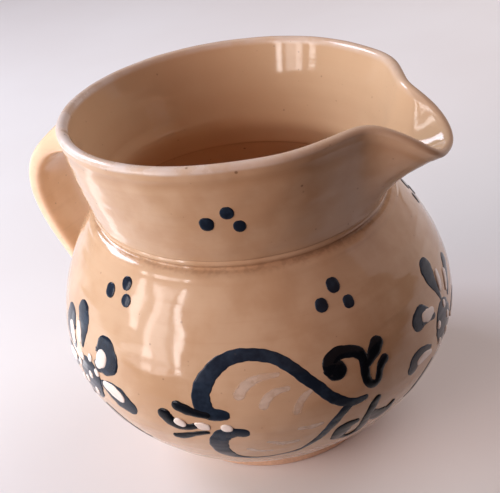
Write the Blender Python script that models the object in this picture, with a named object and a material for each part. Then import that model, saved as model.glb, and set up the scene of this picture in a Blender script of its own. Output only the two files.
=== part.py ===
"""Hand-thrown ceramic jug: a round belly, a flared collar with a pulled pouring lip, and a strap handle.

The jug stands on the origin with +Z up. The pouring lip points along +X and the handle along -X.
All sizes are in metres.
"""

import math

import bpy
from mathutils import Vector

# Foot and flat underside.
FOOT_BASE_RADIUS = 0.0411
FOOT_TOP_RADIUS = 0.0422
FOOT_HEIGHT = 0.0053
FOOT_CHAMFER = 0.0008

# Belly, which runs from the top of the foot to the neck.
BELLY_RADIUS = 0.0686
BELLY_RADIUS_HEIGHT = 0.0487
BELLY_LOWER_FULLNESS = 1.99
BELLY_UPPER_FULLNESS = 1.88
BELLY_TOP_RADIUS = 0.0500
BELLY_STEPS_BELOW = 7
BELLY_STEPS_ABOVE = 7

# Neck, where the collar meets the belly in a scored groove. It sits lower on the pouring side.
NECK_HEIGHT = 0.0898
NECK_DIP = 0.0024
GROOVE_DEPTH = 0.0009
GROOVE_WIDTH = 0.0022

# Collar and rim.
COLLAR_BASE_RADIUS = 0.0490
COLLAR_BULGE = 0.0004
COLLAR_STEPS = 6
RIM_EDGE_HEIGHT = 0.1227
RIM_RADIUS = 0.0543
RIM_LIP_THICKNESS = 0.0034
RIM_CROWN = 0.0014
RIM_STEPS = 5

# Walls.
BELLY_WALL = 0.0046
COLLAR_WALL = 0.0038
WALL_ABOVE_FLOOR = 0.0081
FLOOR_THICKNESS = 0.0065
FLOOR_CORNER_RISE = 0.0006
FLOOR_CORNER_SETBACK = 0.0040
FLOOR_FLAT_SETBACK = 0.0130
INNER_BELLY_STEPS = 9
INNER_COLLAR_STEPS = 5

# Pouring lip, pulled out of the collar and turned down at its tip.
LIP_REACH = 0.0129
LIP_HALF_ANGLE = math.radians(13.1)
LIP_FULLNESS = 3.6
LIP_RISE_POWER = 1.6
LIP_BLEND_REACH = 0.0043
LIP_BLEND_HALF_ANGLE = math.radians(26.5)
LIP_BLEND_RISE_POWER = 1.9
LIP_DROOP = 0.0130
LIP_DROOP_HALF_ANGLE = math.radians(11.4)
LIP_DROOP_FULLNESS = 2.75
LIP_DROOP_RISE_POWER = 1.5
LIP_THINNING = 0.25

# Shoulders, where the rim swells out on both sides of the pouring lip.
SHOULDER_REACH = 0.0015
SHOULDER_ANGLE = math.radians(42.0)
SHOULDER_HALF_ANGLE = math.radians(13.0)
SHOULDER_RISE_POWER = 1.5

# Strap handle: a flattened loop from under the rim to the widest part of the belly.
HANDLE_TOP_HEIGHT = 0.1085
HANDLE_UPPER_REACH = 0.0840
HANDLE_UPPER_HEIGHT = 0.1075
HANDLE_LOWER_REACH = 0.0970
HANDLE_LOWER_HEIGHT = 0.0830
HANDLE_FOOT_HEIGHT = 0.0465
HANDLE_TOP_WIDTH = 0.0250
HANDLE_FOOT_WIDTH = 0.0200
HANDLE_THICKNESS = 0.0070
HANDLE_TOP_SWELL = 0.0120
HANDLE_TOP_SWELL_LENGTH = 0.17
HANDLE_FOOT_THINNING = 0.0014
HANDLE_FOOT_THINNING_LENGTH = 0.14
HANDLE_JOINT_SPREAD = 0.14
HANDLE_JOINT_SPREAD_LENGTH = 0.10
HANDLE_EDGE_ROUNDNESS = 0.75
HANDLE_SEAT_DEPTH = 0.0022
HANDLE_STEPS = 24
HANDLE_TANGENT_STEP = 0.01
HANDLE_SECTION_POINTS = 16

# Columns around the axis, set closer together at the pouring lip.
COLUMNS = 76
COLUMN_CROWDING = 0.55

SHARP_ANGLE = math.radians(35.0)

# Small moves along the skin, from which its normal is worked out.
NORMAL_STEP = 0.0001
NORMAL_TURN = 0.001

CERAMIC_COLOUR = (0.68, 0.46, 0.27, 1.0)
CERAMIC_ROUGHNESS = 0.22


def clear_scene():
    """Removes every object of the startup scene."""
    for obj in list(bpy.data.objects):
        bpy.data.objects.remove(obj, do_unlink=True)


def foot_radius(height):
    """Outer radius of the foot, a short band that widens upwards above a small chamfer."""
    if height < FOOT_CHAMFER:
        return FOOT_BASE_RADIUS - FOOT_CHAMFER + height
    share = (height - FOOT_CHAMFER) / (FOOT_HEIGHT - FOOT_CHAMFER)
    return FOOT_BASE_RADIUS + (FOOT_TOP_RADIUS - FOOT_BASE_RADIUS) * share


def belly_radius(height):
    """Outer radius of the belly, which falls away from its widest height by a power of the distance."""
    if height < BELLY_RADIUS_HEIGHT:
        share = (BELLY_RADIUS_HEIGHT - height) / (BELLY_RADIUS_HEIGHT - FOOT_HEIGHT)
        return BELLY_RADIUS - (BELLY_RADIUS - FOOT_TOP_RADIUS) * share**BELLY_LOWER_FULLNESS
    share = (height - BELLY_RADIUS_HEIGHT) / (NECK_HEIGHT - BELLY_RADIUS_HEIGHT)
    return BELLY_RADIUS - (BELLY_RADIUS - BELLY_TOP_RADIUS) * share**BELLY_UPPER_FULLNESS


def collar_radius(height):
    """Outer radius of the collar, a cone with a slight bulge at its middle."""
    share = (height - NECK_HEIGHT) / (RIM_EDGE_HEIGHT - NECK_HEIGHT)
    cone = COLLAR_BASE_RADIUS + (RIM_RADIUS - COLLAR_BASE_RADIUS) * share
    return cone + COLLAR_BULGE * 4 * share * (1 - share)


def outer_rows():
    """Rows (radius function, height, inward, upward) from the underside's edge to the rim's outer edge."""
    rows = [(foot_radius, 0.0, 0.0, 0.0), (foot_radius, FOOT_CHAMFER, 0.0, 0.0)]
    for step in range(BELLY_STEPS_BELOW):
        share = step / BELLY_STEPS_BELOW
        height = FOOT_HEIGHT + (BELLY_RADIUS_HEIGHT - FOOT_HEIGHT) * share
        rows.append((belly_radius, height, 0.0, 0.0))
    belly_top = NECK_HEIGHT - GROOVE_WIDTH / 2
    for step in range(BELLY_STEPS_ABOVE + 1):
        share = math.sin(math.pi / 2 * step / BELLY_STEPS_ABOVE)
        height = BELLY_RADIUS_HEIGHT + (belly_top - BELLY_RADIUS_HEIGHT) * share
        rows.append((belly_radius, height, 0.0, 0.0))
    rows.append((collar_radius, NECK_HEIGHT, GROOVE_DEPTH, 0.0))
    collar_base = NECK_HEIGHT + GROOVE_WIDTH / 2
    for step in range(COLLAR_STEPS + 1):
        height = collar_base + (RIM_EDGE_HEIGHT - collar_base) * step / COLLAR_STEPS
        rows.append((collar_radius, height, 0.0, 0.0))
    return rows


def rim_rows():
    """Rows over the rounded rim, a half ellipse from its outer edge to its inner edge."""
    rows = []
    for step in range(1, RIM_STEPS):
        turn = math.pi * step / RIM_STEPS
        inward = RIM_LIP_THICKNESS / 2 * (1 - math.cos(turn))
        rows.append((collar_radius, RIM_EDGE_HEIGHT, inward, RIM_CROWN * math.sin(turn)))
    return rows


def inner_rows():
    """Rows down the inside, one wall thickness in from the outer skin."""
    rows = []
    collar_base = NECK_HEIGHT + GROOVE_WIDTH
    for step in range(INNER_COLLAR_STEPS + 1):
        share = step / INNER_COLLAR_STEPS
        height = RIM_EDGE_HEIGHT + (collar_base - RIM_EDGE_HEIGHT) * share
        wall = RIM_LIP_THICKNESS + (COLLAR_WALL - RIM_LIP_THICKNESS) * min(1.0, 3 * share)
        rows.append((collar_radius, height, wall, 0.0))
    belly_top = NECK_HEIGHT - 0.5 * BELLY_WALL
    for step in range(INNER_BELLY_STEPS + 1):
        share = (1 - math.cos(math.pi * step / INNER_BELLY_STEPS)) / 2
        height = belly_top + (WALL_ABOVE_FLOOR - belly_top) * share
        rows.append((belly_radius, height, BELLY_WALL, 0.0))
    return rows


def column_angle(column):
    """Angle of a column from the pouring lip. The columns crowd together where the lip is."""
    turn = 2 * math.pi * column / COLUMNS
    return turn - COLUMN_CROWDING * math.sin(turn)


def lip_share(angle, half_angle, power, middle=0.0):
    """Share from 1 at the middle angle, on either side of the lip's tip, down to 0 beside it."""
    away = abs((angle + math.pi) % (2 * math.pi) - math.pi) - middle
    return math.exp(-(abs(away / half_angle) ** power))


def skin_point(radius_of, height, angle):
    """Point of the outer skin: the neck dips and the collar is pulled out into the lip."""
    radius = radius_of(height)
    if height > NECK_HEIGHT:
        rise = (height - NECK_HEIGHT) / (RIM_EDGE_HEIGHT - NECK_HEIGHT)
        dip = 1 - rise
    else:
        rise = 0.0
        dip = (height / NECK_HEIGHT) ** 2
    pull = LIP_REACH * lip_share(angle, LIP_HALF_ANGLE, LIP_FULLNESS)
    blend = LIP_BLEND_REACH * lip_share(angle, LIP_BLEND_HALF_ANGLE, 2.0)
    shoulder = SHOULDER_REACH * lip_share(angle, SHOULDER_HALF_ANGLE, 2.0, SHOULDER_ANGLE)
    droop = LIP_DROOP * lip_share(angle, LIP_DROOP_HALF_ANGLE, LIP_DROOP_FULLNESS)
    radius += pull * rise**LIP_RISE_POWER + blend * rise**LIP_BLEND_RISE_POWER
    radius += shoulder * rise**SHOULDER_RISE_POWER
    level = height - droop * rise**LIP_DROOP_RISE_POWER - NECK_DIP * dip * math.cos(angle)
    return Vector((radius * math.cos(angle), radius * math.sin(angle), level))


def wall_point(row, angle):
    """Point of one row of the wall, set inward along the skin's normal and upward along the skin."""
    radius_of, height, inward, upward = row
    above = skin_point(radius_of, height + NORMAL_STEP, angle)
    below = skin_point(radius_of, height - NORMAL_STEP, angle)
    ahead = skin_point(radius_of, height, angle + NORMAL_TURN)
    behind = skin_point(radius_of, height, angle - NORMAL_TURN)
    up = (above - below).normalized()
    out = (ahead - behind).cross(up).normalized()
    thinning = 1 - LIP_THINNING * lip_share(angle, LIP_HALF_ANGLE, 2.0) * (height > NECK_HEIGHT)
    return skin_point(radius_of, height, angle) - out * inward * thinning + up * upward


def new_mesh_object(name, vertices, faces):
    """Makes a smooth mesh object, with edges sharper than SHARP_ANGLE kept crisp, and links it."""
    mesh = bpy.data.meshes.new(name)
    mesh.from_pydata(vertices, [], faces)
    mesh.shade_smooth()
    mesh.set_sharp_from_angle(angle=SHARP_ANGLE)
    obj = bpy.data.objects.new(name, mesh)
    bpy.context.scene.collection.objects.link(obj)
    return obj


def body_mesh():
    """Vertices and faces of the hollow body as one closed skin."""
    rows = outer_rows() + rim_rows() + inner_rows()
    angles = [column_angle(column) for column in range(COLUMNS)]
    rings = [[wall_point(row, angle) for angle in angles] for row in rows]
    corner_radius = rings[-1][0].x
    floor_edges = (
        (corner_radius - FLOOR_CORNER_SETBACK, FLOOR_THICKNESS + FLOOR_CORNER_RISE),
        (corner_radius - FLOOR_FLAT_SETBACK, FLOOR_THICKNESS),
    )
    for radius, height in floor_edges:
        spots = [(radius * math.cos(angle), radius * math.sin(angle), height) for angle in angles]
        rings.append([Vector(spot) for spot in spots])
    vertices = [point for ring in rings for point in ring]
    faces = []
    for row in range(len(rings) - 1):
        for column in range(COLUMNS):
            following = (column + 1) % COLUMNS
            low = row * COLUMNS
            high = low + COLUMNS
            faces.append((low + column, low + following, high + following, high + column))
    underside_centre = len(vertices)
    floor_centre = underside_centre + 1
    vertices.append(Vector((0.0, 0.0, 0.0)))
    vertices.append(Vector((0.0, 0.0, FLOOR_THICKNESS)))
    last = (len(rings) - 1) * COLUMNS
    for column in range(COLUMNS):
        following = (column + 1) % COLUMNS
        faces.append((following, column, underside_centre))
        faces.append((last + column, last + following, floor_centre))
    return vertices, faces


def handle_centre(share):
    """(reach, height) of the handle's middle line, a cubic curve from the collar to the belly."""
    top = Vector((collar_radius(HANDLE_TOP_HEIGHT), HANDLE_TOP_HEIGHT))
    upper = Vector((HANDLE_UPPER_REACH, HANDLE_UPPER_HEIGHT))
    lower = Vector((HANDLE_LOWER_REACH, HANDLE_LOWER_HEIGHT))
    foot = Vector((belly_radius(HANDLE_FOOT_HEIGHT), HANDLE_FOOT_HEIGHT))
    rest = 1 - share
    bends = 3 * rest**2 * share * upper + 3 * rest * share**2 * lower
    return rest**3 * top + bends + share**3 * foot


def fading(distance, length):
    """Share that falls smoothly from 1 to 0 with the distance."""
    return math.exp(-((distance / length) ** 2))


def handle_section(share):
    """Points around the handle, which is thick under the rim and pressed thin and wide at its foot."""
    centre = handle_centre(share)
    before = handle_centre(max(0.0, share - HANDLE_TANGENT_STEP))
    after = handle_centre(min(1.0, share + HANDLE_TANGENT_STEP))
    along = (after - before).normalized()
    outward = Vector((-along.y, along.x))
    spread = HANDLE_JOINT_SPREAD * fading(min(share, 1 - share), HANDLE_JOINT_SPREAD_LENGTH)
    width = (HANDLE_TOP_WIDTH + (HANDLE_FOOT_WIDTH - HANDLE_TOP_WIDTH) * share) * (1 + spread)
    top_swell = HANDLE_TOP_SWELL * fading(share, HANDLE_TOP_SWELL_LENGTH)
    thinning = HANDLE_FOOT_THINNING * fading(1 - share, HANDLE_FOOT_THINNING_LENGTH)
    thickness = HANDLE_THICKNESS + top_swell - thinning
    points = []
    for index in range(HANDLE_SECTION_POINTS):
        turn = 2 * math.pi * index / HANDLE_SECTION_POINTS
        across = math.copysign(abs(math.cos(turn)) ** HANDLE_EDGE_ROUNDNESS, math.cos(turn))
        through = math.copysign(abs(math.sin(turn)) ** HANDLE_EDGE_ROUNDNESS, math.sin(turn))
        spot = centre + outward * (through * thickness / 2)
        points.append(Vector((-spot.x, across * width / 2, spot.y)))
    return points


def seated(point, outer_radius):
    """Moves a point of the handle's end into the wall, to an even depth below the outer surface."""
    depth_radius = outer_radius(point.z) - HANDLE_SEAT_DEPTH
    reach = math.sqrt(depth_radius**2 - point.y**2)
    return Vector((-reach, point.y, point.z))


def handle_mesh():
    """Vertices and faces of the handle as one closed strap whose ends sit in the wall."""
    sections = [handle_section(step / HANDLE_STEPS) for step in range(HANDLE_STEPS + 1)]
    sections[0] = [seated(point, collar_radius) for point in sections[0]]
    sections[-1] = [seated(point, belly_radius) for point in sections[-1]]
    vertices = [point for section in sections for point in section]
    count = HANDLE_SECTION_POINTS
    faces = []
    for step in range(HANDLE_STEPS):
        for index in range(count):
            following = (index + 1) % count
            low = step * count
            high = low + count
            faces.append((low + index, high + index, high + following, low + following))
    faces.append(tuple(range(count)))
    faces.append(tuple(reversed(range(HANDLE_STEPS * count, (HANDLE_STEPS + 1) * count))))
    return vertices, faces


def ceramic_material():
    """Plain glazed ceramic."""
    material = bpy.data.materials.new("glazed_ceramic")
    material.use_nodes = True
    shader = material.node_tree.nodes["Principled BSDF"]
    shader.inputs["Base Color"].default_value = CERAMIC_COLOUR
    shader.inputs["Roughness"].default_value = CERAMIC_ROUGHNESS
    shader.inputs["Metallic"].default_value = 0.0
    return material


def build_jug():
    """Joins body and handle into the one fired piece."""
    jug = new_mesh_object("jug", *body_mesh())
    handle = new_mesh_object("handle_form", *handle_mesh())
    handle.hide_render = True
    handle.display_type = "WIRE"
    join = jug.modifiers.new("handle_joint", "BOOLEAN")
    join.operation = "UNION"
    join.solver = "EXACT"
    join.object = handle
    material = ceramic_material()
    jug.data.materials.append(material)
    handle.data.materials.append(material)


clear_scene()
build_jug()
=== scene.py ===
import logging
import math
from collections.abc import Callable
from dataclasses import dataclass, field
from enum import Enum

import bpy
import numpy as np
from mathutils import Matrix, Vector

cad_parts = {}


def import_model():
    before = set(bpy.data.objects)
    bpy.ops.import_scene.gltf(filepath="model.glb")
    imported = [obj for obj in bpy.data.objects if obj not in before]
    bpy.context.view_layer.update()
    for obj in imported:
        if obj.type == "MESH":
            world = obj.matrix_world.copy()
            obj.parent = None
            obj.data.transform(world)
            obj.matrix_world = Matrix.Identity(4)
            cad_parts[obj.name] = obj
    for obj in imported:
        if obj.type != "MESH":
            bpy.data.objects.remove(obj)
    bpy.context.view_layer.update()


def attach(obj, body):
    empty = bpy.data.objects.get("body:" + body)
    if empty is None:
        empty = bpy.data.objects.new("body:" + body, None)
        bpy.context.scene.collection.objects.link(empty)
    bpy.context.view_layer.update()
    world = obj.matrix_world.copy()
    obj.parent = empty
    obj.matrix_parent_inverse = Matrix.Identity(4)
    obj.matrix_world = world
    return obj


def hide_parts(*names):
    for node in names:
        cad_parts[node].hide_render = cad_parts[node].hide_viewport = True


# The jug stands on its foot at the origin, with the pouring lip towards +X, the strap handle
# towards -X and +Z up. Lengths are in metres. Where a name or docstring says so, a place on the
# skin is given as degrees round from the lip and millimetres up it, as a decorator would mark it.

Array = np.ndarray
Colour = tuple[float, float, float, float]
Pair = tuple[float, float]
Trail = tuple[Pair, ...]
Bells = tuple[tuple[float, float, float], ...]
Waves = tuple[tuple[float, float, float, float], ...]
Socket = bpy.types.NodeSocket
Feed = Socket | float | tuple[float, ...]

LOG = logging.getLogger("ceramic_jug")
UP_STEP = 1e-4
ROUND_STEP = 1e-3


class Slip(Enum):
    """The coloured slips that the decoration is trailed with."""

    NAVY = "navy"
    BLACK = "black"
    WHITE = "white"
    VEIL = "veil"


def fading(distance: Array, length: float, power: float = 2.0) -> Array:
    """Share that falls from 1 to 0: e to minus the distance over the length, to a power."""
    return np.exp(-(np.abs(distance / length) ** power))


def smooth_step(value: Array, low: float, high: float) -> Array:
    """Share that rises from 0 at low to 1 at high by the cubic 3t^2 - 2t^3."""
    share = np.clip((value - low) / (high - low), 0.0, 1.0)
    return share * share * (3 - 2 * share)


def unit(vectors: Array) -> Array:
    """Vectors of length one along the last axis."""
    return vectors / np.maximum(np.linalg.norm(vectors, axis=-1, keepdims=True), 1e-12)


def turn_from(angle: Array, middle: float = 0.0) -> Array:
    """Angle round from a middle, the shorter way, between minus half a turn and half a turn."""
    return (angle - middle + math.pi) % (2 * math.pi) - math.pi


def powered(value: Array, power: float) -> Array:
    """The value's sign times its size to a power."""
    return np.sign(value) * np.abs(value) ** power


def bells(place: Array, table: Bells) -> Array:
    """Sum of bell curves, each given as its middle, its height and its spread."""
    return sum(height * fading(place - middle, spread) for middle, height, spread in table)


def waves(up: Array, drift: Array, table: Waves) -> Array:
    """Sum of sines of pace times up plus share times drift plus start, each times its weight."""
    return sum(weight * np.sin(pace * up + share * drift + start) for pace, share, start, weight in table)


def dimples(height: Array, angle: Array, upward: tuple, sideways: tuple, start: float = 0.0) -> Array:
    """Product of a sine up the wall and a sine round it, each bent by a sine of the other way.

    Args:
        height: Height up the wall.
        angle: Angle round the pot.
        upward: Pace up the wall, size of its bend and the bend's pace round the pot.
        sideways: Pace round the pot, size of its bend and the bend's pace up the wall.
        start: Where the sine round the pot starts.

    Returns:
        Numbers from -1 to 1.
    """
    rising = np.sin(upward[0] * height + upward[1] * np.sin(upward[2] * angle))
    return rising * np.sin(sideways[0] * angle + sideways[1] * np.sin(sideways[2] * height) + start)


def rows_through(stops: tuple[tuple[float, int], ...], end: float) -> Array:
    """Heights as a column: from each stop to the next in that many even steps, then the end."""
    highs = [height for height, _ in stops[1:]] + [end]
    spans = [np.linspace(low, high, steps, endpoint=False) for (low, steps), high in zip(stops, highs)]
    return np.append(np.concatenate(spans), end)[:, None]


def curve_through(points: Array, each: int) -> Array:
    """Smooth curve through points, a Catmull-Rom cubic between each pair.

    Between p1 and p2 the place is half of 2*p1 + (p2-p0)*t + (2*p0-5*p1+4*p2-p3)*t^2
    + (3*p1-p0-3*p2+p3)*t^3, and the end points are continued in a straight line.

    Args:
        points: Points along the first axis.
        each: How many steps each span gets.

    Returns:
        The points of the curve along the first axis, with both ends.
    """
    first = 2 * points[:1] - points[1:2]
    last = 2 * points[-1:] - points[-2:-1]
    padded = np.concatenate([first, points, last])
    p0, p1, p2, p3 = padded[:-3], padded[1:-2], padded[2:-1], padded[3:]
    shape = (1, each) + (1,) * (points.ndim - 1)
    t = (np.arange(each) / each).reshape(shape)
    p0, p1, p2, p3 = (part[:, None] for part in (p0, p1, p2, p3))
    bend = (2 * p0 - 5 * p1 + 4 * p2 - p3) * t**2 + (3 * p1 - p0 - 3 * p2 + p3) * t**3
    spans = (2 * p1 + (p2 - p0) * t + bend) / 2
    return np.concatenate([spans.reshape((-1,) + points.shape[1:]), points[-1:]])


@dataclass(frozen=True)
class JugForm:
    """The pot's sizes, the same as in the part's source, and its skin as whole arrays."""

    foot_base_radius: float = 0.0411
    foot_top_radius: float = 0.0422
    foot_height: float = 0.0053
    foot_chamfer: float = 0.0008
    belly_widest: float = 0.0686
    belly_widest_height: float = 0.0487
    belly_lower_fullness: float = 1.99
    belly_upper_fullness: float = 1.88
    belly_top_radius: float = 0.0500
    neck_height: float = 0.0898
    neck_dip: float = 0.0024
    neck_blend: float = 0.0009
    groove_depth: float = 0.00054
    groove_spread: float = 0.0011
    collar_base_radius: float = 0.0490
    collar_bulge: float = 0.0004
    rim_edge_height: float = 0.1227
    rim_radius: float = 0.0543
    rim_thickness: float = 0.0034
    rim_crown: float = 0.0014
    belly_wall: float = 0.0046
    collar_wall: float = 0.0038
    floor_thickness: float = 0.0065
    lip_reach: float = 0.0129
    lip_half_angle: float = math.radians(13.1)
    lip_fullness: float = 3.6
    lip_rise_power: float = 1.6
    lip_blend_reach: float = 0.0043
    lip_blend_half_angle: float = math.radians(26.5)
    lip_blend_rise_power: float = 1.9
    lip_droop: float = 0.0130
    lip_droop_half_angle: float = math.radians(11.4)
    lip_droop_fullness: float = 2.75
    lip_droop_rise_power: float = 1.5
    lip_thinning: float = 0.25
    shoulder_reach: float = 0.0015
    shoulder_angle: float = math.radians(42)
    shoulder_half_angle: float = math.radians(13)
    shoulder_rise_power: float = 1.5

    def foot(self, height: Array) -> Array:
        """Radius of the foot, a cone above a small chamfer."""
        share = (height - self.foot_chamfer) / (self.foot_height - self.foot_chamfer)
        cone = self.foot_base_radius + (self.foot_top_radius - self.foot_base_radius) * share
        chamfer = self.foot_base_radius - self.foot_chamfer + height
        return np.where(height < self.foot_chamfer, chamfer, cone)

    def belly(self, height: Array) -> Array:
        """Radius of the belly: the widest, less a power of the distance from its height."""
        above = height > self.belly_widest_height
        end_height = np.where(above, self.neck_height, self.foot_height)
        end_radius = np.where(above, self.belly_top_radius, self.foot_top_radius)
        power = np.where(above, self.belly_upper_fullness, self.belly_lower_fullness)
        share = (height - self.belly_widest_height) / (end_height - self.belly_widest_height)
        drop = np.maximum(share, 0.0) ** power
        return self.belly_widest - (self.belly_widest - end_radius) * drop

    def collar(self, height: Array) -> Array:
        """Radius of the collar, a cone with a slight bulge at its middle."""
        share = (height - self.neck_height) / (self.rim_edge_height - self.neck_height)
        cone = self.collar_base_radius + (self.rim_radius - self.collar_base_radius) * share
        return cone + self.collar_bulge * 4 * share * (1 - share)

    def outer(self, height: Array) -> Array:
        """Radius of the whole outside: belly, then collar, with the neck's groove between."""
        end = self.neck_height + self.neck_blend
        change = smooth_step(height, self.neck_height - self.neck_blend, end)
        body = self.belly(np.minimum(height, end))
        radius = body + (self.collar(height) - body) * change
        return radius - self.groove_depth * fading(height - self.neck_height, self.groove_spread)

    def place(self, radius: Array, height: Array, angle: Array) -> Array:
        """Point of the skin, where the neck dips and the collar is pulled out into the lip.

        The rise is the share of the way up the collar. The lip adds its reach, which fades
        with the angle, times a power of the rise; the droop is taken off the height likewise.

        Args:
            radius: Radius before the lip is pulled.
            height: Height before the dip, which is also the share of the rise.
            angle: Angle round from the lip, in radians.

        Returns:
            The points, with x, y and z along the last axis.
        """
        collar_height = self.rim_edge_height - self.neck_height
        rise = np.maximum(height - self.neck_height, 0.0) / collar_height
        dip = np.where(rise > 0, 1 - rise, (np.minimum(height, self.neck_height) / self.neck_height) ** 2)
        away = turn_from(angle)
        pull = self.lip_reach * fading(away, self.lip_half_angle, self.lip_fullness)
        blend = self.lip_blend_reach * fading(away, self.lip_blend_half_angle)
        shoulder = self.shoulder_reach * fading(np.abs(away) - self.shoulder_angle, self.shoulder_half_angle)
        droop = self.lip_droop * fading(away, self.lip_droop_half_angle, self.lip_droop_fullness)
        reach = radius + pull * rise**self.lip_rise_power + blend * rise**self.lip_blend_rise_power
        reach = reach + shoulder * rise**self.shoulder_rise_power
        level = height - droop * rise**self.lip_droop_rise_power - self.neck_dip * dip * np.cos(angle)
        return np.stack([reach * np.cos(angle), reach * np.sin(angle), level], axis=-1)

    def skin(self, height: Array, angle: Array) -> Array:
        """Point of the outer skin at a height and angle."""
        return self.place(self.outer(height), height, angle)

    def moves(self, height: Array, angle: Array) -> tuple[Array, Array]:
        """Small moves up the outer skin and round it."""
        up = self.skin(height + UP_STEP, angle) - self.skin(height - UP_STEP, angle)
        return up, self.skin(height, angle + ROUND_STEP) - self.skin(height, angle - ROUND_STEP)

    def skin_normal(self, height: Array, angle: Array) -> Array:
        """Outward normal of the outer skin, across the moves up it and round it."""
        up, onward = self.moves(height, angle)
        return unit(np.cross(onward, up))

    def wall(
        self,
        radius_of: Callable[[Array], Array],
        height: Array,
        angle: Array,
        inward: Array,
        upward: Array,
    ) -> Array:
        """Point set inward from a skin along its normal, and upward along it.

        Args:
            radius_of: Gives the radius at a height.
            height: Height of each point on the skin.
            angle: Angle of each point.
            inward: Distance in from the skin, which thins towards the lip on the collar.
            upward: Distance up along the skin.

        Returns:
            The points, with x, y and z along the last axis.
        """
        height, angle = np.broadcast_arrays(height, angle)

        def spot(up: float, onward: float) -> Array:
            """Point of the skin after a small move up it and round it."""
            return self.place(radius_of(height + up), height + up, angle + onward)

        up = unit(spot(UP_STEP, 0.0) - spot(-UP_STEP, 0.0))
        out = unit(np.cross(spot(0.0, ROUND_STEP) - spot(0.0, -ROUND_STEP), up))
        on_collar = height > self.neck_height
        thinning = 1 - self.lip_thinning * fading(turn_from(angle), self.lip_half_angle) * on_collar
        return spot(0.0, 0.0) - out * (inward * thinning)[..., None] + up * upward[..., None]


def shown(name: str, data: bpy.types.ID) -> bpy.types.Object:
    """Makes an object from its data and puts it in the scene."""
    obj = bpy.data.objects.new(name, data)
    bpy.context.scene.collection.objects.link(obj)
    return obj


class Potting:
    """Makes mesh objects from grids of points."""

    @staticmethod
    def normals(grid: Array) -> Array:
        """Outward normals of a closed grid: the cross product of its moves round and along."""
        round_it = np.roll(grid, -1, axis=1) - np.roll(grid, 1, axis=1)
        along = np.gradient(grid, axis=0)
        return unit(np.cross(round_it, along))

    @staticmethod
    def tube(grid: Array, start: Array, end: Array) -> tuple[Array, Array, Array]:
        """Closes a grid, whose columns run round, with a pole at each end.

        Args:
            grid: Points as rows along by columns round by 3.
            start: The pole before the first row.
            end: The pole after the last row.

        Returns:
            The vertices, the quads and the triangles that fan to the poles.
        """
        rows, columns = grid.shape[:2]
        index = np.arange(rows * columns).reshape(rows, columns)
        following = np.roll(index, -1, axis=1)
        quads = [index[:-1], following[:-1], following[1:], index[1:]]
        vertices = np.concatenate([grid.reshape(-1, 3), [start, end]])
        first = np.full(columns, rows * columns)
        starts = np.stack([following[0], index[0], first], axis=-1)
        ends = np.stack([index[-1], following[-1], first + 1], axis=-1)
        return vertices, np.stack(quads, axis=-1).reshape(-1, 4), np.concatenate([starts, ends])

    @staticmethod
    def plain(name: str, vertices: list, faces: list) -> bpy.types.Object:
        """Makes a mesh object at the origin."""
        mesh = bpy.data.meshes.new(name)
        mesh.from_pydata(vertices, [], faces)
        return shown(name, mesh)

    @staticmethod
    def piece(
        name: str,
        vertices: Array,
        quads: Array,
        triangles: Array,
        marks: dict[str, Array],
    ) -> bpy.types.Object:
        """Makes a smooth mesh object, which rides on the jug.

        Args:
            name: The piece's name.
            vertices: Its points.
            quads: Its four-sided faces.
            triangles: Its three-sided faces.
            marks: Numbers for each point that its material reads, by attribute name.

        Returns:
            The object.
        """
        obj = Potting.plain(name, vertices.tolist(), quads.tolist() + triangles.tolist())
        obj.data.shade_smooth()
        for mark, values in marks.items():
            layer = obj.data.attributes.new(mark, "FLOAT", "POINT")
            layer.data.foreach_set("value", np.ascontiguousarray(values, dtype=np.float32))
        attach(obj, "root")
        LOG.info("%s: %d faces", name, len(obj.data.polygons))
        return obj


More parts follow.
